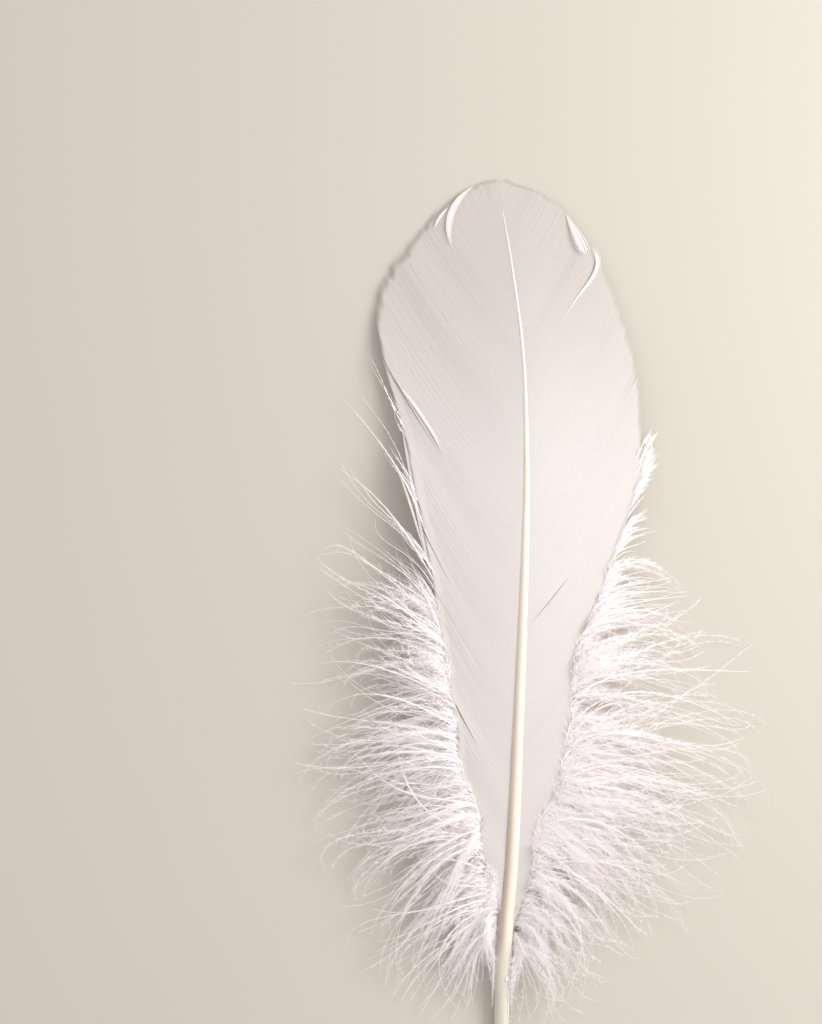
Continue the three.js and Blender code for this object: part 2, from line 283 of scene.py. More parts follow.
# Down barbs that stray over the others: y of the root, then three points that steer the barb to its tip
LEFT_STRAYS = [
    (37, (-13.1, 46.5), (-22.6, 52.4), (-18.2, 75.4)),
    (48.3, (-14.9, 68.8), (-25.5, 74.7), (-33.6, 65.7)),
    (52, (-15.8, 73.2), (-25, 77.6), (-33.6, 75.4)),
    (40.5, (-14, 52.4), (-21.3, 50.5), (-29.6, 63)),
    (42.3, (-13.1, 58.8), (-19.5, 56), (-28.6, 54.4)),
    (33.3, (-9.4, 47.8), (-18.6, 44.1), (-26.3, 34.4)),
    (32.5, (-7.6, 42.3), (-16.4, 41.4), (-20.6, 35)),
    (39, (-13.1, 52.4), (-20, 51.5), (-23, 41)),
    (58.6, (-14.9, 83.5), (-21.3, 89.9), (-30.7, 91.2)),
    (72.7, (-16.7, 109.1), (-22.2, 116.4), (-28.6, 123.7)),
    (66.7, (-17.7, 100.9), (-23.1, 107.3), (-29.9, 111.3)),
    (60, (-13.1, 87.1), (-15.8, 91.7), (-18.2, 98.5)),
    (30, (-10.3, 31.3), (-15.8, 27.7), (-15.8, 20.7)),
    (28.5, (-7, 30), (-10, 24.9), (-13.5, 18.5)),
    (27, (-6.1, 27.7), (-7.6, 21.3), (-8.9, 13.8)),
    (25.5, (-4.3, 26.2), (-6.5, 20.3), (-5.2, 12.5)),
    (30.3, (-13.1, 28.6), (-13.5, 19.4), (-8.3, 12.3)),
    (30.8, (-9.4, 33.5), (-15.8, 25.8), (-22.6, 24.6)),
    (31.5, (-9.4, 34.1), (-14.9, 29), (-23.7, 30.6)),
    (32, (-8.5, 35.5), (-14, 35.9), (-11.8, 39.9)),
]
RIGHT_STRAYS = [
    (32.5, (16.2, 38.6), (19.1, 23.1), (24.8, 21.4)),
    (34, (16.2, 40.5), (22.6, 27.7), (27, 25.7)),
    (31.7, (15.8, 35), (16.6, 20.3), (10.7, 15.2)),
    (30.7, (15.3, 32.2), (16.2, 20.3), (14.4, 12.5)),
    (27.5, (8, 31.3), (8, 25.8), (2.5, 20)),
    (28.8, (9.2, 33.5), (9.2, 25.8), (3.8, 22)),
    (33.3, (16.2, 39.6), (23.9, 27.7), (24.2, 22.7)),
    (55, (18, 77.1), (32.7, 74.7), (45.8, 74)),
    (51, (19.9, 76.2), (34.5, 69.2), (43.8, 64.3)),
    (45, (18, 70.7), (32.7, 60.6), (46, 55.5)),
    (48, (19.9, 68.8), (32.7, 56.9), (44.6, 62.1)),
    (41.4, (16.2, 60.6), (32.7, 47.8), (43.5, 39.9)),
    (42.8, (18, 63.4), (32.7, 53.3), (43.6, 49.1)),
    (49.6, (18, 70.7), (25.3, 72.5), (20.6, 57.9)),
    (39.9, (16.2, 52.4), (25.3, 43.2), (32.5, 35)),
]
STRAYS = {LEFT: LEFT_STRAYS, RIGHT: RIGHT_STRAYS}
STRAY_ROOT = 0.98
STRAY_LIFT = (2.2, 4.2)
STRAY_HEIGHTS = (0.9, 0.5)  # of the first two points, over the root's
STRAY_TIPS = (0.5, 2.0)

# Materials: the scales of their noise, and each kind of barb's glow and roughness
CLOUD_SCALE = 90.0
GRAIN_SCALE = 5000.0
STREAK_SCALE, STREAK_STRETCH = 900.0, (1, 0.03, 1)
FLOOR_CLOUD_SCALE = 6.0
FIBRE_SCALE = 1500.0
VANE_BARBS = (0.25, 0.6)
TUFT_BARBS = (0.15, 0.6)
DOWN_BARBS = (0.05, 0.6)
SHEATH = (0.12, 0.5)
# Painted shade: the vane's barbs are darkened, a little warmer, towards the feather's tip
TIP_SHADE = (0.855, 0.84, 0.812)
TIP_SHADE_START, TIP_SHADE_END = 0.105, 0.155  # metres along Y
TUFT_TINT = 0.87
MAP_LEAN = (0.35, 0.2)  # how far height shifts the map
SHEATH_TINT = 0.93

# The stage, in metres: the camera looks straight down
FLOOR_HALF = 1.5
WINDOW_PLACE = (0.32, 0.20, 0.25)
WINDOW_AIM = (-0.01, 0.09, 0)
WINDOW_SIZE = 0.22
CAMERA_PLACE = (-0.01656, 0.10325, 0.3664)
CAMERA_LENS = 70
CAMERA_SENSOR = 36
DIFFUSE_BOUNCES = 12


def table_curve(rows, column=1):
    """A smooth curve through rows of (key, value, ...), read at a key or an array of keys."""
    table = np.array(rows, float)
    keys, values = table[:, 0], table[:, column]
    places = np.arange(len(keys))
    before, after = np.maximum(places - 1, 0), np.minimum(places + 1, len(keys) - 1)
    slopes = (values[after] - values[before]) / (keys[after] - keys[before])

    def read(key):
        i = np.clip(np.searchsorted(keys, key) - 1, 0, len(keys) - 2)
        span = keys[i + 1] - keys[i]
        t = np.clip((key - keys[i]) / span, 0, 1)
        rise = 3 * t**2 - 2 * t**3
        return (
            values[i] + (values[i + 1] - values[i]) * rise
            + span * slopes[i] * (t**3 - 2 * t**2 + t)
            + span * slopes[i + 1] * (t**3 - t**2)
        )

    return read


def side_curves(tables, column=1):
    return {side: table_curve(rows, column) for side, rows in tables.items()}


def unit(vectors):
    return vectors / np.maximum(np.linalg.norm(vectors, axis=-1, keepdims=True), 1e-9)


def to_left(directions):
    """Directions seen from above, turned a quarter to the left."""
    return np.stack([-directions[..., 1], directions[..., 0]], -1)


def at_height(plan, z):
    """Points seen from above, with their heights."""
    return np.concatenate([plan, z[..., None]], -1)


def drift(rng, count, size, reach):
    """A slow random run of count values, about -size to size, that changes over reach values."""
    window = np.hanning(2 * reach + 1)[1:-1]
    noise = rng.normal(size=count + len(window) - 1)
    return size * np.convolve(noise, window / np.linalg.norm(window), "valid")


def draws(name):
    """The random draws of a piece, the same each run."""
    return np.random.default_rng(SEEDS[name])


class Form:
    """The feather's lines and surfaces, in millimetres, worked out from its sizes."""

    shaft_x = staticmethod(table_curve(SHAFT_LINE))
    shaft_width = staticmethod(table_curve(SHAFT_WIDTH))
    spread_share = side_curves(SPREAD_SHARE)
    edge_x, edge_y = side_curves(EDGES, 1), side_curves(EDGES, 2)
    curled = side_curves(CURLED)
    down_x, down_y = side_curves(DOWN_REACH, 1), side_curves(DOWN_REACH, 2)
    crowd = side_curves(DOWN_REACH, 3)

    def __init__(self, sizes):
        self.arch_rise = sizes.arch_rise / MM
        self.spread = sizes.vane_spread / MM

    def half_height(self, y):
        return self.shaft_width(y) / 2 * SHAFT_FLATTENING

    def shaft_z(self, y):
        along = np.clip((y - REST_END) / (FEATHER_TIP - REST_END), 0, 1)
        return self.half_height(y) + self.arch_rise * np.sin(np.pi * along) ** ARCH_SHARPNESS

    def vane_z(self, x, y):
        away = x - self.shaft_x(y)
        share = np.where(away < 0, self.spread_share[LEFT](y), self.spread_share[RIGHT](y))
        top = self.shaft_z(y) + VANE_SET * self.half_height(y)
        return VANE_LOW + (top - VANE_LOW) * np.exp(-((np.abs(away) / (share * self.spread)) ** VANE_FALL))

    def barbs(self, side, roots, shares):
        """Points on the barbs with these roots, at these shares of their length, seen from above.

        Both are arrays: roots of one column, shares of one row or of a row for each barb. Past its end
        a barb runs straight on."""
        root = np.stack([self.shaft_x(roots), roots], -1)
        end = np.stack([self.edge_x[side](roots), self.edge_y[side](roots)], -1)
        bend = root + (end - root) * np.array(BARB_BOW)
        t = np.minimum(shares, 1)[..., None]
        past = np.maximum(shares - 1, 0)[..., None]
        curve = root * (1 - t) ** 2 + 2 * bend * t * (1 - t) + end * t**2
        return curve + 2 * past * (end - bend)

    def crowded(self, side, lowest, highest, count, rng):
        """Roots between lowest and highest, drawn so that they crowd as the table says."""
        places = np.linspace(lowest, highest, CROWD_STEPS)
        share = np.cumsum(np.maximum(self.crowd[side](places), 0))
        return np.interp(rng.uniform(share[0], share[-1], count), share, places)

    def leave(self, side, roots, shares):
        """Where down barbs come free, as points and directions: at the vane's edge, or low down at
        the shaft's side."""
        on_vane = np.clip((roots - VANE_START) / LEAVE_FADE, 0, 1)[:, None]
        vane_roots = np.maximum(roots, VANE_START)[:, None]
        edge = self.barbs(side, vane_roots, shares[:, None])[:, 0]
        ahead = self.barbs(side, vane_roots, shares[:, None] + AHEAD)[:, 0]
        beside = np.stack([self.shaft_x(roots) + side * SHAFT_SIDE * self.shaft_width(roots), roots], -1)
        plan = beside + (edge - beside) * on_vane
        low_heading = np.array([side * LOW_HEADING[0], LOW_HEADING[1]])
        heading = unit(unit(ahead - edge) * on_vane + low_heading * (1 - on_vane))
        low, high = self.shaft_z(plan[:, 1]) - UNDER_MIDDLE, self.vane_z(plan[:, 0], plan[:, 1])
        z = low + (high - low) * on_vane[:, 0]
        return at_height(plan, z), heading

    def off_shaft(self, side, paths):
        """The same paths, kept beside the shaft and above the floor."""
        t = np.linspace(0, 1, paths.shape[1])[None]
        x = self.shaft_x(paths[..., 1])
        share = SHAFT_SIDE + SIDE_GROWTH * np.clip(SIDE_SPEED * t, 0, 1)
        clear = share * self.shaft_width(paths[..., 1])
        paths[..., 0] = x + side * np.maximum(side * (paths[..., 0] - x), clear)
        paths[..., 2] = np.maximum(paths[..., 2], DOWN_CLEARANCE)
        return paths


class Strands:
    """Many tapering strands, gathered from arrays and joined in one mesh."""

    def __init__(self, rng):
        self.rng = rng
        self.vertices, self.corners, self.sizes, self.smooth, self.tones = [], [], [], [], []
        self.count = 0

    def add(self, paths, widths, depths, sides, smooth=True):
        """Adds strands along paths (strand, station, xyz): rings of corners, then one point at the tip."""
        number, stations, _ = paths.shape
        tones = self.rng.uniform(0, TONES, number)
        along = unit(np.gradient(paths, axis=1))
        side = unit(np.cross(along, UP))
        lift = np.cross(side, along)
        turn = np.arange(sides) * (2 * np.pi / sides)
        across = (0.5 * widths)[..., None, None] * np.cos(turn)[:, None] * side[:, :, None]
        upward = (0.5 * depths)[..., None, None] * np.sin(turn)[:, None] * lift[:, :, None]
        rings = (paths[:, :, None] + across + upward)[:, :-1].reshape(number, -1, 3)
        per_strand = (stations - 1) * sides + 1
        self.vertices.append(np.concatenate([rings, paths[:, -1:]], 1).reshape(-1, 3))

        ring = np.arange(sides)
        after = (ring + 1) % sides
        last = (stations - 2) * sides
        walls = np.stack([ring, ring + sides, after + sides, after], -1)
        walls = (walls[None] + sides * np.arange(stations - 2)[:, None, None]).reshape(-1)
        tip = np.stack([last + ring, np.full(sides, per_strand - 1), last + after], -1).reshape(-1)
        corners = np.concatenate([walls, ring, tip])
        starts = self.count + per_strand * np.arange(number)
        self.corners.append((corners[None] + starts[:, None]).reshape(-1))
        faces = np.concatenate([np.full(len(walls) // 4, 4), [sides], np.full(sides, 3)])
        self.sizes.append(np.tile(faces, number))
        self.smooth.append(np.full(len(faces) * number, smooth))
        self.tones.append(np.repeat(tones, per_strand))
        self.count += per_strand * number

    def piece(self, name, material, sharp=None):
        """The joined mesh as an object, with its map, and its strands' tones as an attribute."""
        vertices = np.concatenate(self.vertices)
        corners = np.concatenate(self.corners)
        sizes = np.concatenate(self.sizes)
        mesh = bpy.data.meshes.new(name)
        mesh.vertices.add(len(vertices))
        mesh.vertices.foreach_set("co", (vertices * MM).ravel())
        mesh.loops.add(len(corners))
        mesh.loops.foreach_set("vertex_index", corners.astype(np.int32))
        mesh.polygons.add(len(sizes))
        mesh.polygons.foreach_set("loop_start", (np.cumsum(sizes) - sizes).astype(np.int32))
        mesh.update(calc_edges=True)
        mesh.validate()
        mesh.polygons.foreach_set("use_smooth", np.concatenate(self.smooth))
        if sharp is not None:
            mesh.set_sharp_from_angle(angle=sharp)
        tone = mesh.attributes.new("tone", "FLOAT", "POINT")
        tone.data.foreach_set("value", np.concatenate(self.tones).astype(np.float32))
        map_from_above(mesh)
        return new_piece(name, mesh, material)


def map_from_above(mesh):
    """Lays the mesh's map out as seen from above and a little aside, so that no wall is edge on."""
    points = np.empty(len(mesh.vertices) * 3, np.float32)
    mesh.vertices.foreach_get("co", points)
    points = points.reshape(-1, 3)
    flat = points[:, :2] + points[:, 2:] * np.array(MAP_LEAN, np.float32)
    flat = (flat - flat.min(0)) / (flat.max(0) - flat.min(0))
    corners = np.empty(len(mesh.loops), np.int32)
    mesh.loops.foreach_get("vertex_index", corners)
    layer = mesh.uv_layers.new(name="OFBake")
    layer.data.foreach_set("uv", flat[corners].ravel())


def mesh_from(name, bm):
    mesh = bpy.data.meshes.new(name)
    bm.to_mesh(mesh)
    bm.free()
    return mesh


def new_piece(name, mesh, material):
    piece = bpy.data.objects.new(name, mesh)
    bpy.context.scene.collection.objects.link(piece)
    mesh.materials.append(material)
    return piece


def grown(piece):
    """Attaches a piece of the feather to what it rides on, and hides the part that it stands for."""
    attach(piece, BODY)
    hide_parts(NODE)
    return piece


# Materials

def new_material(name):
    material = bpy.data.materials.new(name)
    material.use_nodes = True
    tree = material.node_tree
    tree.nodes.clear()
    return material, tree


def node(tree, kind, links=None, **settings):
    """A new node: settings are its own properties, links its inputs, as values or as other sockets."""
    made = tree.nodes.new("ShaderNode" + kind)
    for key, value in settings.items():
        setattr(made, key, value)
    for key, value in (links or {}).items():
        if isinstance(value, bpy.types.NodeSocket):
            tree.links.new(value, made.inputs[key])
        else:
            made.inputs[key].default_value = value
    return made


def own_place(tree):
    """The piece's own coordinates, in metres."""
    return node(tree, "TexCoord").outputs["Object"]


def own_y(tree):
    return node(tree, "SeparateXYZ", {0: own_place(tree)}).outputs["Y"]


def noise(tree, scale, stretch=(1, 1, 1), detail=3.0):
    """Noise on the piece's own coordinates, stretched by another scale along each axis."""
    mapped = node(tree, "Mapping", {"Vector": own_place(tree), "Scale": stretch})
    made = node(tree, "TexNoise", {"Vector": mapped.outputs[0], "Scale": scale, "Detail": detail})
    return made.outputs["Fac"]


def ramp(tree, factor, stops):
    """A colour ramp with stops of (position, colour)."""
    made = node(tree, "ValToRGB", {"Fac": factor})
    elements = made.color_ramp.elements
    while len(elements) < len(stops):
        elements.new(0.5)
    for element, (position, colour) in zip(elements, stops):
        element.position = position
        element.color = (*colour, 1)
    return made.outputs["Color"]


def tinted(colour, factor):
    return tuple(channel * factor for channel in colour)


def barb_material(name, colour, glow, roughness, tip_shade=(1, 1, 1)):
    """Thin white keratin that lets light through: barbs differ a little in tone, and painted shade darkens
    them towards the feather's tip."""
    material, tree = new_material(name)
    tone = node(tree, "Attribute", attribute_name="tone").outputs["Fac"]
    cloud = noise(tree, CLOUD_SCALE)
    mixed = node(tree, "Math", {0: cloud, 1: 0.5, 2: tone}, operation="MULTIPLY_ADD")
    base = ramp(tree, mixed.outputs[0], [(0.1, tinted(colour, 0.97)), (0.9, colour)])
    # Painted shade: darker towards the feather's tip
    shade_share = node(tree, "MapRange", {
        "Value": own_y(tree), "From Min": TIP_SHADE_START, "From Max": TIP_SHADE_END,
    }, interpolation_type="SMOOTHSTEP").outputs[0]
    painted_tip_shade = node(tree, "Mix", {0: shade_share, 6: (1, 1, 1, 1), 7: (*tip_shade, 1)}, data_type="RGBA").outputs[2]
    base = node(tree, "VectorMath", {0: base, 1: painted_tip_shade}, operation="MULTIPLY").outputs[0]
    grain = noise(tree, GRAIN_SCALE, detail=2.0)
    bump = node(tree, "Bump", {"Height": grain, "Strength": 0.15, "Distance": 0.00002})
    skin = node(tree, "BsdfPrincipled", {
        "Base Color": base,
        "Roughness": roughness,
        "IOR": 1.45,
        "Specular IOR Level": 0.35,
        "Sheen Weight": 0.15,
        "Sheen Roughness": 0.5,
        "Normal": bump.outputs[0],
    })
    through = node(tree, "BsdfTranslucent", {"Color": base})
    mix = node(tree, "MixShader", {0: glow, 1: skin.outputs[0], 2: through.outputs[0]})
    node(tree, "OutputMaterial", {"Surface": mix.outputs[0]})
    return material


def shaft_material(cream, clear, flank_shade_colour):
    """Horn: opaque cream along the vane, with painted shade in brown down its left flank, greyer and
    clearer on the bare quill, with fine long streaks."""
    material, tree = new_material("horn")
    change = node(tree, "MapRange", {
        "Value": own_y(tree),
        "From Min": (BARE_QUILL_TOP - HORN_CHANGE) * MM,
        "From Max": (BARE_QUILL_TOP + HORN_CHANGE) * MM,
    }).outputs[0]
    streak = noise(tree, STREAK_SCALE, STREAK_STRETCH)
    horn = ramp(tree, streak, [(0.3, tinted(cream, 0.88)), (0.7, cream)])
    bare = ramp(tree, streak, [(0.3, tinted(clear, 0.85)), (0.7, clear)])
    # Painted shade: brown mixed in down the shaft's left flank
    painted_shade = node(tree, "Attribute", attribute_name="painted_shade").outputs["Fac"]
    sides = node(tree, "Mix", {0: painted_shade, 6: horn, 7: (*flank_shade_colour, 1)}, data_type="RGBA").outputs[2]
    base = node(tree, "Mix", {0: change, 6: bare, 7: sides}, data_type="RGBA").outputs[2]
    bump = node(tree, "Bump", {"Height": streak, "Strength": 0.35, "Distance": 0.00008})
    skin = node(tree, "BsdfPrincipled", {
        "Base Color": base,
        "Roughness": 0.38,
        "IOR": 1.54,
        "Subsurface Weight": 0.25,
        "Subsurface Radius": (0.0012, 0.0009, 0.0006),
        "Subsurface Scale": 1.0,
        "Normal": bump.outputs[0],
    })
    node(tree, "OutputMaterial", {"Surface": skin.outputs[0]})
    return material


def floor_material(colour):
    material, tree = new_material("pale card")
    cloud = noise(tree, FLOOR_CLOUD_SCALE)
    base = ramp(tree, cloud, [(0.2, tinted(colour, 0.97)), (0.8, colour)])
    fibre = noise(tree, FIBRE_SCALE)
    bump = node(tree, "Bump", {"Height": fibre, "Strength": 0.05, "Distance": 0.0001})
    skin = node(tree, "BsdfPrincipled", {"Base Color": base, "Roughness": 0.7, "Normal": bump.outputs[0]})
    node(tree, "OutputMaterial", {"Surface": skin.outputs[0]})
    return material


# The shaft

def grow_shaft(form, material):
    """A rod set ring by ring along the shaft's line, with both ends closed."""
    steps = np.arange(QUILL_RINGS[-1] + 2, SHAFT_END, SHAFT_STEP)
    rings = [*QUILL_RINGS, *steps.tolist(), SHAFT_END]
    bm = bmesh.new()
    bmesh.ops.create_circle(bm, cap_ends=True, segments=SHAFT_SIDES, radius=1.0)
    bmesh.ops.rotate(bm, verts=bm.verts, matrix=Matrix.Rotation(math.pi / 2, 3, "X"))
    verts, edges = list(bm.verts), list(bm.edges)
    centre, size = Vector((0, 0, 0)), Vector((1, 1, 1))
    for y in rings:
        if y > rings[0]:
            made = bmesh.ops.extrude_edge_only(bm, edges=edges)["geom"]
            verts = [g for g in made if isinstance(g, bmesh.types.BMVert)]
            edges = [g for g in made if isinstance(g, bmesh.types.BMEdge)]
            edges = [edge for edge in edges if all(vert in verts for vert in edge.verts)]
        new_centre = Vector((float(form.shaft_x(y)), y, float(form.shaft_z(y))))
        new_size = Vector((float(form.shaft_width(y)) / 2, 1, float(form.half_height(y))))
        factor = Vector((new_size.x / size.x, 1, new_size.z / size.z))
        bmesh.ops.translate(bm, verts=verts, vec=-centre)
        bmesh.ops.scale(bm, verts=verts, vec=factor)
        bmesh.ops.translate(bm, verts=verts, vec=new_centre)
        centre, size = new_centre, new_size
    bmesh.ops.contextual_create(bm, geom=edges)
    bmesh.ops.scale(bm, verts=bm.verts, vec=(MM, MM, MM))
    bmesh.ops.recalc_face_normals(bm, faces=bm.faces)
    mesh = mesh_from("shaft", bm)
    mesh.shade_smooth()
    # Painted shade: a mask over the shaft's left flank, strongest near the base
    painted_shade = mesh.attributes.new("painted_shade", "FLOAT", "POINT")
    for vertex, value in zip(mesh.vertices, painted_shade.data):
        x, y, _ = vertex.co / MM
        aside = (form.shaft_x(y) - x) / (form.shaft_width(y) / 2)
        shaded = np.clip((aside - FLANK_SHADE_START) / FLANK_SHADE_FADE, 0, 1)
        value.value = shaded * np.interp(y, *FLANK_SHADE_SHARE)
    return grown(new_piece("shaft", mesh, material))


def grow_flakes(form, material):
    """Flakes of the dry sheath, left on the right side of the bare quill: one stands up, and the
    others are a thin line."""
    rng = draws("quill_flakes")
    bm = bmesh.new()
    for y, place, width, length, curl in FLAKES:
        made = bmesh.ops.create_grid(bm, x_segments=FLAKE_COLUMNS, y_segments=FLAKE_ROWS, size=0.5)["verts"]
        half, high = form.shaft_width(y) / 2, form.half_height(y)
        raggedness = {}
        for vert in made:
            across, along = vert.co.x, vert.co.y
            ragged = raggedness.setdefault(round(along, 3), rng.uniform(*FLAKE_RAGGED))
            ragged *= math.sqrt(max(1 - 4 * along**2, FLAKE_POINT))
            turn = place + across * ragged * width / half
            rise = FLAKE_RISE + curl * (across + 0.5) ** 2 + FLAKE_END_CURL * curl * max(along, 0) ** 2
            slope = math.asin(max(min(turn, 1), -1))
            vert.co.x = float(form.shaft_x(y)) + math.sin(slope) * (half + rise) + max(turn - 1, 0) * half
            vert.co.y = y + along * length
            vert.co.z = float(form.shaft_z(y)) + math.cos(slope) * high + rise
    bmesh.ops.recalc_face_normals(bm, faces=bm.faces)
    bmesh.ops.solidify(bm, geom=bm.faces[:], thickness=FLAKE_THICKNESS)
    bmesh.ops.scale(bm, verts=bm.verts, vec=(MM, MM, MM))
    mesh = mesh_from("quill_flakes", bm)
    mesh.shade_smooth()
    return grown(new_piece("quill_flakes", mesh, material))


# The vane

def part_barbs(side, roots, shares, across):
    """How far the splits move the barbs: across them, seen from above, and up."""
    moved = np.zeros(across.shape)
    raised = np.zeros(across.shape[:2])
    for split_side, root, start, end, gap, step, reach in SPLITS:
        if split_side != side:
            continue
        if end < 1:
            opening = np.sin(np.pi * np.clip((shares - start) / (end - start), 0, 1)) ** SLIT_POWER
        else:
            opening = np.clip((shares - start) / (1 - start), 0, 1) ** OPEN_POWER
        offset = roots - root
        near = np.exp(-np.abs(offset) / reach) * opening
        moved += across * (np.sign(offset) * near * gap / 2)[..., None]
        raised += np.where(np.sign(offset) == np.sign(step), np.abs(step) * near**STEP_POWER, 0)
    return moved, raised


def grow_vane(side, name, form, sizes, material):
    """One side of the vane: barb beside barb, each a flat strip with a low ridge."""
    rng = draws(name)
    roots = np.arange(VANE_START, LAST_ROOT, sizes.barb_spacing / MM)[:, None]
    count = len(roots)
    ends = form.barbs(side, roots, np.array([[0.0, 1.0]]))
    reach = np.linalg.norm(ends[:, 1] - ends[:, 0], axis=-1, keepdims=True)
    ragged = (drift(rng, count, *RAGGED_RUN) + RAGGED * rng.normal(size=count))[:, None]
    ragged *= np.interp(roots, *RAGGED_SHARE)
    t = np.linspace(0, 1, BARB_STATIONS)[None] ** STATION_POWER
    shares = t * (1 + ragged / np.maximum(reach, RAGGED_FROM))
    plan = form.barbs(side, roots, shares)

    steps = np.diff(plan, axis=0, append=(2 * plan[-1:] - plan[-2:-1]))
    along = unit(np.gradient(plan, axis=1))
    beside = steps - (steps * along).sum(-1, keepdims=True) * along
    gap = np.linalg.norm(beside, axis=-1)
    across = unit(beside)
    moved, raised = part_barbs(side, roots, shares, across)
    sway = drift(rng, count, *SWAY_RUN)[:, None] * t
    plan = plan + moved + across * sway[..., None]
    plan[..., 0] -= side * ROOT_LAP * np.clip(1 - ROOT_LAP_FADE * shares, 0, 1)

    wave = drift(rng, count, *WAVE_RUN)[:, None] * t**WAVE_POWER + WAVE * rng.normal(size=(count, 1)) * t
    at_rim = np.clip((t - CURL_START) / CURL_SPAN, 0, 1)
    curl = EDGE_CURL * form.curled[side](roots) * at_rim**2
    z = np.maximum(form.vane_z(plan[..., 0], plan[..., 1]) + raised + wave + curl, VANE_CLEARANCE)
    paths = at_height(plan, z)
    taper = np.clip((1 - t) * reach / TAPER_LENGTH, LEAST_TAPER, 1)
    widths = np.maximum(gap * sizes.barb_overlap * taper, LEAST_BARB_WIDTH)
    depths = np.clip(widths * sizes.barb_relief, *BARB_DEPTHS)
    strands = Strands(rng)
    strands.add(paths, widths, depths, FLAT_SIDES)
    return grown(strands.piece(name, material, sharp=SHARP_ANGLE))


# The down

def bezier(points, shares):
    """Cubic curves: points is four arrays (strand, 1, xyz), shares a row."""
    t = shares[..., None]
    a, b, c, d = points
    return a * (1 - t) ** 3 + 3 * b * t * (1 - t) ** 2 + 3 * c * t**2 * (1 - t) + d * t**3


def down_paths(side, lowest, highest, kind, clumps, form, rng):
    """Down barbs of one kind in clumps, an array of how many each has: each barb leaves along the
    vane's barb at its root, then bows out, over and down."""
    owner = np.repeat(np.arange(len(clumps)), clumps)
    count = len(owner)

    def chances(draw, scatter):
        """One draw for each clump, with a little more for each of its barbs."""
        return draw(len(clumps))[owner] + scatter * rng.normal(size=count)

    roots = chances(lambda n: form.crowded(side, lowest, highest, n, rng), ROOT_SCATTER)
    roots = np.clip(roots, DOWN_START, highest)
    base, heading = form.leave(side, roots, rng.uniform(*LEAVE_SHARES, count))
    start = base[:, :2]
    reach = np.stack([form.down_x[side](roots), form.down_y[side](roots)], -1)
    shares = np.clip(chances(lambda n: rng.uniform(*kind.reach, n), REACH_SCATTER), *REACH_LIMITS)
    span = (reach - start) * shares[:, None]
    length = np.linalg.norm(span, axis=-1, keepdims=True)
    stray = chances(
        lambda n: np.clip(rng.standard_t(TAILS, n) * TIP_STRAY, -TIP_LIMIT, TIP_LIMIT), TIP_SCATTER)
    tip = start + span + to_left(span) * np.clip(kind.wild * stray, -WILD_LIMIT, WILD_LIMIT)[:, None]

    handle = chances(lambda n: rng.uniform(*HANDLE, n), HANDLE_SCATTER)[:, None]
    handle = np.clip(handle, HANDLE_LEAST, HANDLE_MOST * length)
    veer = kind.wild * chances(lambda n: rng.normal(size=n) * VEER, VEER_SCATTER)[:, None]
    bend = start + unit(heading + veer * to_left(heading)) * handle
    swing = chances(lambda n: rng.standard_t(TAILS, n) * SWING, SWING_SCATTER)
    swing = np.clip(swing, -SWING_LIMIT, SWING_LIMIT)[:, None]
    droop = np.interp(roots, *DROOP)
    arrive = unit(tip - bend) - np.stack([0 * droop, droop], -1)
    arrive = unit(arrive + kind.wild * swing * to_left(arrive))
    turn = tip - arrive * length * rng.uniform(*TURN_SHARES, (count, 1))

    lift = np.abs(chances(lambda n: rng.gamma(GAMMA_SHAPE, LIFT, n), LIFT_SCATTER))
    lift = np.clip(lift, 0, LIFT_MOST) * np.clip(length[:, 0] / FULL_LIFT_LENGTH, LEAST_LIFT, 1)
    bend_z = base[:, 2] * BEND_HEIGHT + lift
    tip_z = TIP_HEIGHT + np.abs(rng.normal(size=count)) * TIP_SPREAD
    turn_z = 0.5 * bend_z + 0.5 * tip_z + 0.5 * lift
    steer = (at_height(bend, bend_z), at_height(turn, turn_z), at_height(tip, tip_z))
    t = np.linspace(0, 1, kind.stations)[None]
    paths = bezier([points[:, None] for points in (base, *steer)], t)

    beside = unit(np.cross(unit(np.gradient(paths, axis=1)), UP))
    turns = chances(lambda n: rng.uniform(*WAVES, n), WAVES_SCATTER)[:, None] * t
    turns += chances(lambda n: rng.uniform(0, 1, n), PHASE_SCATTER)[:, None]
    size = chances(lambda n: rng.gamma(GAMMA_SHAPE, kind.curl, n), CURL_SCATTER * kind.curl)
    size = np.abs(size)[:, None]
    paths += beside * (size * t**CURL_POWER * np.sin(2 * np.pi * turns))[..., None]
    return form.off_shaft(side, paths)


def barbules(paths, length, lean, gap, rng):
    """Fine straight side hairs all along every down barb, leaning towards its tip, and the share of
    the barb's length at which each stands."""
    count, stations, _ = paths.shape
    runs = np.linalg.norm(np.diff(paths, axis=1), axis=-1).sum(1)
    owner = np.repeat(np.arange(count), np.maximum((2 * runs / gap).astype(int), 2))
    number = len(owner)
    share = rng.uniform(*BARBULE_SHARES, number)
    place = share * (stations - 1)
    i = np.minimum(place.astype(int), stations - 2)
    f = (place - i)[:, None]
    foot = paths[owner, i] * (1 - f) + paths[owner, i + 1] * f
    along = unit(paths[owner, i + 1] - paths[owner, i])
    side = unit(np.cross(along, UP))
    lift = np.cross(side, along)
    hand = np.where(rng.uniform(size=number) < 0.5, -1.0, 1.0)[:, None]
    roll = rng.normal(size=(number, 1)) * BARBULE_ROLL
    out = hand * np.cos(roll) * side + np.sin(roll) * lift
    lean = np.radians(rng.uniform(*lean, (number, 1)))
    direction = np.cos(lean) * along + np.sin(lean) * out
    long = length * rng.uniform(*BARBULE_LENGTHS, number)
    long *= np.clip(BARBULE_FADE * (1 - share) + BARBULE_LEAST, 0, 1)
    tip = foot + direction * long[:, None]
    hairs = np.stack([foot, tip], 1)
    hairs[..., 2] = np.maximum(hairs[..., 2], BARBULE_CLEARANCE)
    return hairs, share


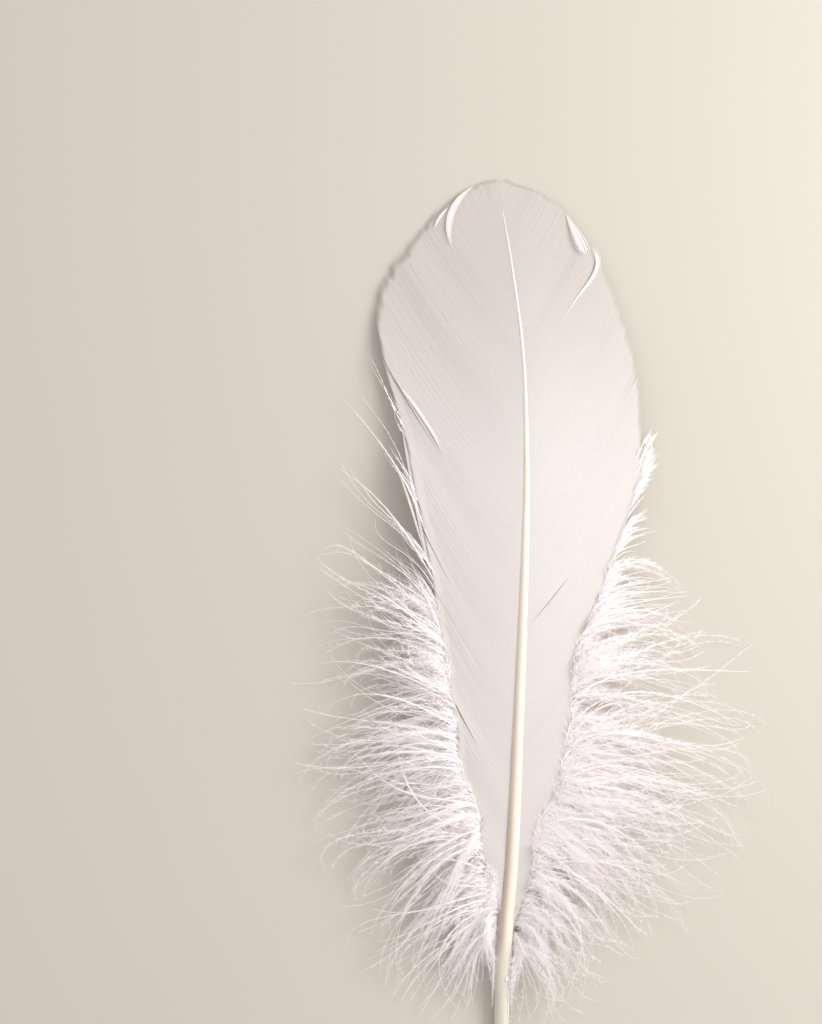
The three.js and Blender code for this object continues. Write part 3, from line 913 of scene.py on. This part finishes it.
def add_barbs(strands, paths, kind, sizes, rng):
    """Adds down barbs of one kind along paths, each with its barbules."""
    count, stations, _ = paths.shape
    t = np.linspace(0, 1, stations)[None]
    widths = kind.thick * rng.uniform(*BARB_THICKNESSES, (count, 1)) * (1 - BARB_TAPER * t**TAPER_POWER)
    smooth = kind.thick > ROUND_BARB
    strands.add(paths, widths, widths, ROUND_SIDES if smooth else FINE_SIDES, smooth)
    if kind.barbule:
        hairs, share = barbules(paths, kind.barbule, kind.lean, kind.sparse * sizes.barbule_gap / MM, rng)
        thick = sizes.barbule_thickness / MM * np.ones((len(hairs), 2))
        wide = thick * np.interp(share, *BARBULE_FLATNESS)[:, None]
        strands.add(hairs, wide, BARBULE_DEPTH * thick, FINE_SIDES, smooth=False)


def grow_down(name, form, sizes, material):
    """A stretch of down on one side, in clumps of several kinds."""
    side, lowest, highest, kinds = STRETCHES[name]
    rng = draws(name)
    strands = Strands(rng)
    for kind, number in kinds:
        clumps = rng.integers(*kind.barbs, max(round(number * sizes.down_density), 1), endpoint=True)
        add_barbs(strands, down_paths(side, lowest, highest, kind, clumps, form, rng), kind, sizes, rng)
    return grown(strands.piece(name, material))


def grow_strays(side, name, form, sizes, material):
    """The barbs that stray over the rest of the down on one side."""
    rng = draws(name)
    rows = STRAYS[side]
    count = len(rows)
    base, _ = form.leave(side, np.array([row[0] for row in rows], float), np.full(count, STRAY_ROOT))
    plan = np.array([row[1:] for row in rows])
    lift = rng.uniform(*STRAY_LIFT, count)
    heights = [share * base[:, 2] + lift for share in STRAY_HEIGHTS] + [rng.uniform(*STRAY_TIPS, count)]
    steer = [at_height(plan[:, i], z) for i, z in enumerate(heights)]
    t = np.linspace(0, 1, STRAY.stations)[None]
    paths = form.off_shaft(side, bezier([points[:, None] for points in (base, *steer)], t))
    strands = Strands(rng)
    add_barbs(strands, paths, STRAY, sizes, rng)
    return grown(strands.piece(name, material))


# The curled tufts

def grow_tufts(form, material):
    """Barbs that lie side by side along a curve, lifted off the vane, wider between their ends."""
    rng = draws("tip_tufts")
    strands = Strands(rng)
    t = np.linspace(0, 1, TUFT_STATIONS)[None]
    for points, width, root_power, tip_power, lift, count in TUFTS:
        corners = [np.array(point)[None, None] for point in points]
        starts, ends = np.abs(rng.normal(size=(2, count, 1))) * TUFT_RAGGED
        shares = starts + (1 - starts - ends) * t
        middle = bezier(corners, shares)
        along = unit(np.gradient(middle, axis=1))
        across = -to_left(along)
        full = shares**root_power * (1 - shares) ** tip_power
        full = full / full.max()
        place = np.linspace(-1, 1, count)[:, None] + rng.normal(size=(count, 1)) * TUFT_SCATTER
        plan = middle + across * (place * full * width / 2)[..., None]
        turned = np.where(across[..., 0] > 0, place, -place)
        rise = lift * full * (TUFT_LIFT - TUFT_TILT * turned)
        z = form.vane_z(plan[..., 0], plan[..., 1]) + TUFT_CLEARANCE + rise
        broad = TUFT_MIDDLE - TUFT_THINNING * np.abs(place)
        widths = TUFT_BARB_WIDTH * width / count * full * broad * (1 - (2 * t - 1) ** TUFT_BLUNTNESS)
        widths = np.maximum(widths, LEAST_TUFT_WIDTH)
        strands.add(at_height(plan, z), widths, widths * TUFT_RELIEF, FLAT_SIDES)
    return grown(strands.piece("tip_tufts", material, sharp=SHARP_ANGLE))


# The stage

def build_stage(looks):
    bm = bmesh.new()
    bmesh.ops.create_grid(bm, x_segments=1, y_segments=1, size=FLOOR_HALF)
    floor = new_piece("floor", mesh_from("floor", bm), floor_material(looks.floor_colour))

    scene = bpy.context.scene
    light = bpy.data.lights.new("window", "AREA")
    light.size = WINDOW_SIZE
    light.energy = looks.window_power
    light.color = looks.window_colour
    lamp = bpy.data.objects.new("window", light)
    lamp.location = WINDOW_PLACE
    lamp.rotation_euler = (Vector(WINDOW_AIM) - lamp.location).to_track_quat("-Z", "Y").to_euler()
    scene.collection.objects.link(lamp)

    world = bpy.data.worlds.new("room")
    world.use_nodes = True
    background = world.node_tree.nodes["Background"]
    background.inputs["Color"].default_value = (*looks.room_colour, 1)
    background.inputs["Strength"].default_value = looks.room_strength
    scene.world = world
    scene.view_settings.view_transform = "Standard"
    scene.cycles.diffuse_bounces = DIFFUSE_BOUNCES

    camera = bpy.data.cameras.new("camera")
    camera.sensor_fit = "VERTICAL"
    camera.sensor_height = CAMERA_SENSOR
    camera.lens = CAMERA_LENS
    seen = bpy.data.objects.new("camera", camera)
    seen.location = CAMERA_PLACE
    scene.collection.objects.link(seen)
    scene.camera = seen


def distance(name, description, default, least=0.0):
    return FloatProperty(
        name=name, description=description, default=default * MM, min=least * MM,
        unit="LENGTH", subtype="DISTANCE", precision=5)


def colour(name, description, default):
    return FloatVectorProperty(
        name=name, description=description, default=default, min=0, max=1, subtype="COLOR")


class FeatherSizes(bpy.types.PropertyGroup):
    """Sizes of the feather."""

    arch_rise: distance("Arch rise", "Height of the shaft's arch off the surface", 7.4)
    vane_spread: distance(
        "Vane spread", "Distance from the shaft at which the vane has lost most height", 26, least=5)
    barb_spacing: distance(
        "Barb spacing", "Distance between two barbs along the shaft", 0.5, least=0.3)
    barb_overlap: FloatProperty(
        name="Barb overlap", description="Width of a barb over the distance to the next",
        default=1.3, min=0.2, max=2)
    barb_relief: FloatProperty(
        name="Barb relief", description="Thickness of a barb over its width", default=0.16, min=0.02, max=1)
    down_density: FloatProperty(
        name="Down density", description="Clumps of down barbs over the usual number", default=1, min=0.1)
    barbule_gap: distance(
        "Barbule gap", "Distance between barbules on one side of a down barb", 0.28, least=0.05)
    barbule_thickness: distance(
        "Barbule thickness", "Thickness of a barbule at its foot", 0.042, least=0.01)


class FeatherLooks(bpy.types.PropertyGroup):
    """Colours and lights."""

    vane_colour: colour("Vane", "Colour of the vane's barbs", (0.80, 0.758, 0.753))
    down_colour: colour("Down", "Colour of the down", (1.0, 0.965, 0.985))
    shaft_colour: colour("Shaft", "Colour of the shaft along the vane", (0.83, 0.77, 0.68))
    quill_colour: colour("Quill", "Colour of the bare quill", (0.68, 0.645, 0.565))
    # Painted shade: the brown put on the shaft's left flank
    flank_shade_colour: colour("Shaft flank", "Colour of the shaft's left flank", (0.50, 0.43, 0.345))
    floor_colour: colour("Floor", "Colour of the surface that the feather lies on", (0.553, 0.52, 0.474))
    window_colour: colour("Window light", "Colour of the light from the right", (1.0, 0.985, 0.95))
    window_power: FloatProperty(
        name="Window power", description="Power of the light from the right",
        default=1.74, min=0, unit="POWER")
    room_colour: colour("Room light", "Colour of the light from all around", (1.0, 0.96, 0.92))
    room_strength: FloatProperty(
        name="Room strength", description="Strength of the light from all around", default=0.825, min=0)


def settings(context):
    return context.scene.feather_sizes, context.scene.feather_looks


class FEATHER_OT_grow_shaft(bpy.types.Operator):
    """Grow the quill and the shaft"""

    bl_idname = "feather.grow_shaft"
    bl_label = "Grow Shaft"

    def execute(self, context):
        sizes, looks = settings(context)
        material = shaft_material(looks.shaft_colour, looks.quill_colour, looks.flank_shade_colour)
        grow_shaft(Form(sizes), material)
        sheath = barb_material("sheath", tinted(looks.down_colour, SHEATH_TINT), *SHEATH)
        grow_flakes(Form(sizes), sheath)
        return {"FINISHED"}


class FEATHER_OT_grow_vane(bpy.types.Operator):
    """Grow both sides of the vane"""

    bl_idname = "feather.grow_vane"
    bl_label = "Grow Vane"

    def execute(self, context):
        sizes, looks = settings(context)
        material = barb_material("vane barbs", looks.vane_colour, *VANE_BARBS, TIP_SHADE)
        for side, name in ((LEFT, "left_vane"), (RIGHT, "right_vane")):
            grow_vane(side, name, Form(sizes), sizes, material)
        return {"FINISHED"}


class FEATHER_OT_grow_tufts(bpy.types.Operator):
    """Grow the curled tufts near the tip"""

    bl_idname = "feather.grow_tufts"
    bl_label = "Grow Tufts"

    def execute(self, context):
        sizes, looks = settings(context)
        material = barb_material("tuft barbs", tinted(looks.down_colour, TUFT_TINT), *TUFT_BARBS)
        grow_tufts(Form(sizes), material)
        return {"FINISHED"}


class FEATHER_OT_grow_down(bpy.types.Operator):
    """Grow the down on both sides"""

    bl_idname = "feather.grow_down"
    bl_label = "Grow Down"

    def execute(self, context):
        sizes, looks = settings(context)
        material = barb_material("down barbs", looks.down_colour, *DOWN_BARBS)
        for name in STRETCHES:
            grow_down(name, Form(sizes), sizes, material)
        for side, name in ((LEFT, "left_strays"), (RIGHT, "right_strays")):
            grow_strays(side, name, Form(sizes), sizes, material)
        return {"FINISHED"}


class FEATHER_OT_build_stage(bpy.types.Operator):
    """Set the floor, the light and the camera"""

    bl_idname = "feather.build_stage"
    bl_label = "Build Stage"

    def execute(self, context):
        build_stage(context.scene.feather_looks)
        return {"FINISHED"}


STEPS = (
    FEATHER_OT_build_stage,
    FEATHER_OT_grow_shaft,
    FEATHER_OT_grow_vane,
    FEATHER_OT_grow_tufts,
    FEATHER_OT_grow_down,
)


class FEATHER_PT_panel(bpy.types.Panel):
    """Lists the steps that grow the feather"""

    bl_label = "Goose Feather"
    bl_idname = "FEATHER_PT_panel"
    bl_space_type = "VIEW_3D"
    bl_region_type = "UI"
    bl_category = "Feather"

    def draw(self, context):
        for step in STEPS:
            self.layout.operator(step.bl_idname)
        for group in settings(context):
            for name in group.__annotations__:
                self.layout.prop(group, name)


CLASSES = (FeatherSizes, FeatherLooks, *STEPS, FEATHER_PT_panel)


def register():
    for cls in CLASSES:
        bpy.utils.register_class(cls)
    bpy.types.Scene.feather_sizes = PointerProperty(type=FeatherSizes)
    bpy.types.Scene.feather_looks = PointerProperty(type=FeatherLooks)


def unregister():
    del bpy.types.Scene.feather_looks
    del bpy.types.Scene.feather_sizes
    for cls in reversed(CLASSES):
        bpy.utils.unregister_class(cls)


def main():
    register()
    for step in STEPS:
        area, name = step.bl_idname.split(".")
        getattr(getattr(bpy.ops, area), name)()


if __name__ == "__main__":
    main()
